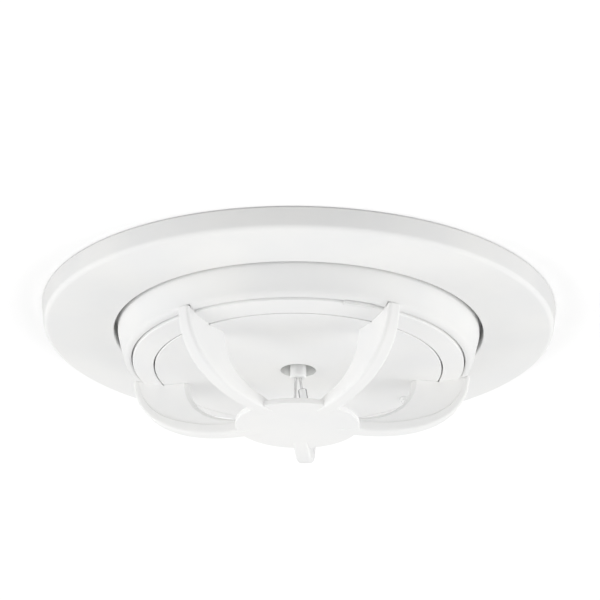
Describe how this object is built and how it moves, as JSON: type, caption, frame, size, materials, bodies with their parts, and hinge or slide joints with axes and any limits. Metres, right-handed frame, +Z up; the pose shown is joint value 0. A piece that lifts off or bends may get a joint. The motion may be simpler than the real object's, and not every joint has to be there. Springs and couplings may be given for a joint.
{
  "type": "heat detector",
  "caption": "Flanged ceiling heat detector: a plug-in head with a bead sensor inside a cage of curved fins, held by a twist lock in its base.",
  "frame": {"origin": "centre of the base's back face, in the plane of the ceiling", "axes": "+Z up into the ceiling, -Y the front as pictured, +X its right; the part hangs below z = 0"},
  "size_m": [0.154, 0.154, 0.0378],
  "materials": {
    "base_plastic": "fine moulded satin white",
    "housing_plastic": "moulded white",
    "cover_plastic": "fine moulded satin white",
    "cage_plastic": "fine moulded satin white",
    "plate_plastic": "fine moulded satin white",
    "collar_plastic": "moulded white",
    "sensor_glass": "clear bead glass",
    "reed_glass": "clear tube glass",
    "led_lens": "frosted clear lens",
    "tinned_copper": "dull tinned wire",
    "zinc_steel": "zinc plated",
    "contact_brass": "stamped spring metal",
    "board_laminate": "solder resist over glass laminate",
    "dark_resin": "moulded package",
    "capacitor_can": "drawn can"
  },
  "bodies": {
    "base": {"base_flange": "base_plastic", "terminal_contact_1": "contact_brass", "terminal_contact_2": "contact_brass", "terminal_contact_3": "contact_brass", "terminal_contact_4": "contact_brass"},
    "terminal_1_clamp": {"terminal_clamp_1": "zinc_steel"},
    "terminal_1_screw": {"terminal_screw_1": "zinc_steel"},
    "terminal_2_clamp": {"terminal_clamp_2": "zinc_steel"},
    "terminal_2_screw": {"terminal_screw_2": "zinc_steel"},
    "terminal_3_clamp": {"terminal_clamp_3": "zinc_steel"},
    "terminal_3_screw": {"terminal_screw_3": "zinc_steel"},
    "terminal_4_clamp": {"terminal_clamp_4": "zinc_steel"},
    "terminal_4_screw": {"terminal_screw_4": "zinc_steel"},
    "head": {"head_housing": "housing_plastic", "contact_blade_1": "contact_brass", "contact_blade_2": "contact_brass", "contact_blade_3": "contact_brass", "contact_blade_4": "contact_brass", "outer_cover": "cover_plastic", "protective_cage": "cage_plastic", "sensor_plate": "plate_plastic", "circuit_board": "board_laminate", "thermistor_collar": "collar_plastic", "thermistor_bead": "sensor_glass", "thermistor_lead_short": "tinned_copper", "thermistor_lead_looped": "tinned_copper", "status_led": "led_lens", "control_chip": "dark_resin", "storage_capacitor": "capacitor_can", "test_reed_switch": "reed_glass", "bridge_rectifier": "dark_resin"}
  },
  "joints": [
    {"name": "head_twist", "type": "hinge", "parent": "base", "child": "head", "pos_m": [0, 0, 0], "axis": [0, 0, -1], "range_deg": [0, 20]},
    {"name": "terminal_1_travel", "type": "slide", "parent": "base", "child": "terminal_1_clamp", "axis": [0, 0, -1], "range_m": [0, 0.0014]},
    {"name": "terminal_1_turn", "type": "hinge", "parent": "terminal_1_clamp", "child": "terminal_1_screw", "pos_m": [0.02653, -0.01789, -0.006], "axis": [0, 0, -1], "range_deg": [0, 725]},
    {"name": "terminal_2_travel", "type": "slide", "parent": "base", "child": "terminal_2_clamp", "axis": [0, 0, -1], "range_m": [0, 0.0014]},
    {"name": "terminal_2_turn", "type": "hinge", "parent": "terminal_2_clamp", "child": "terminal_2_screw", "pos_m": [0.01789, 0.02653, -0.006], "axis": [0, 0, -1], "range_deg": [0, 725]},
    {"name": "terminal_3_travel", "type": "slide", "parent": "base", "child": "terminal_3_clamp", "axis": [0, 0, -1], "range_m": [0, 0.0014]},
    {"name": "terminal_3_turn", "type": "hinge", "parent": "terminal_3_clamp", "child": "terminal_3_screw", "pos_m": [-0.02653, 0.01789, -0.006], "axis": [0, 0, -1], "range_deg": [0, 725]},
    {"name": "terminal_4_travel", "type": "slide", "parent": "base", "child": "terminal_4_clamp", "axis": [0, 0, -1], "range_m": [0, 0.0014]},
    {"name": "terminal_4_turn", "type": "hinge", "parent": "terminal_4_clamp", "child": "terminal_4_screw", "pos_m": [-0.01789, -0.02653, -0.006], "axis": [0, 0, -1], "range_deg": [0, 725]}
  ],
  "couplings": [
    {"joint": "terminal_1_turn", "follows": "terminal_1_travel", "rad_per_m": 8976},
    {"joint": "terminal_2_turn", "follows": "terminal_2_travel", "rad_per_m": 8976},
    {"joint": "terminal_3_turn", "follows": "terminal_3_travel", "rad_per_m": 8976},
    {"joint": "terminal_4_turn", "follows": "terminal_4_travel", "rad_per_m": 8976}
  ]
}
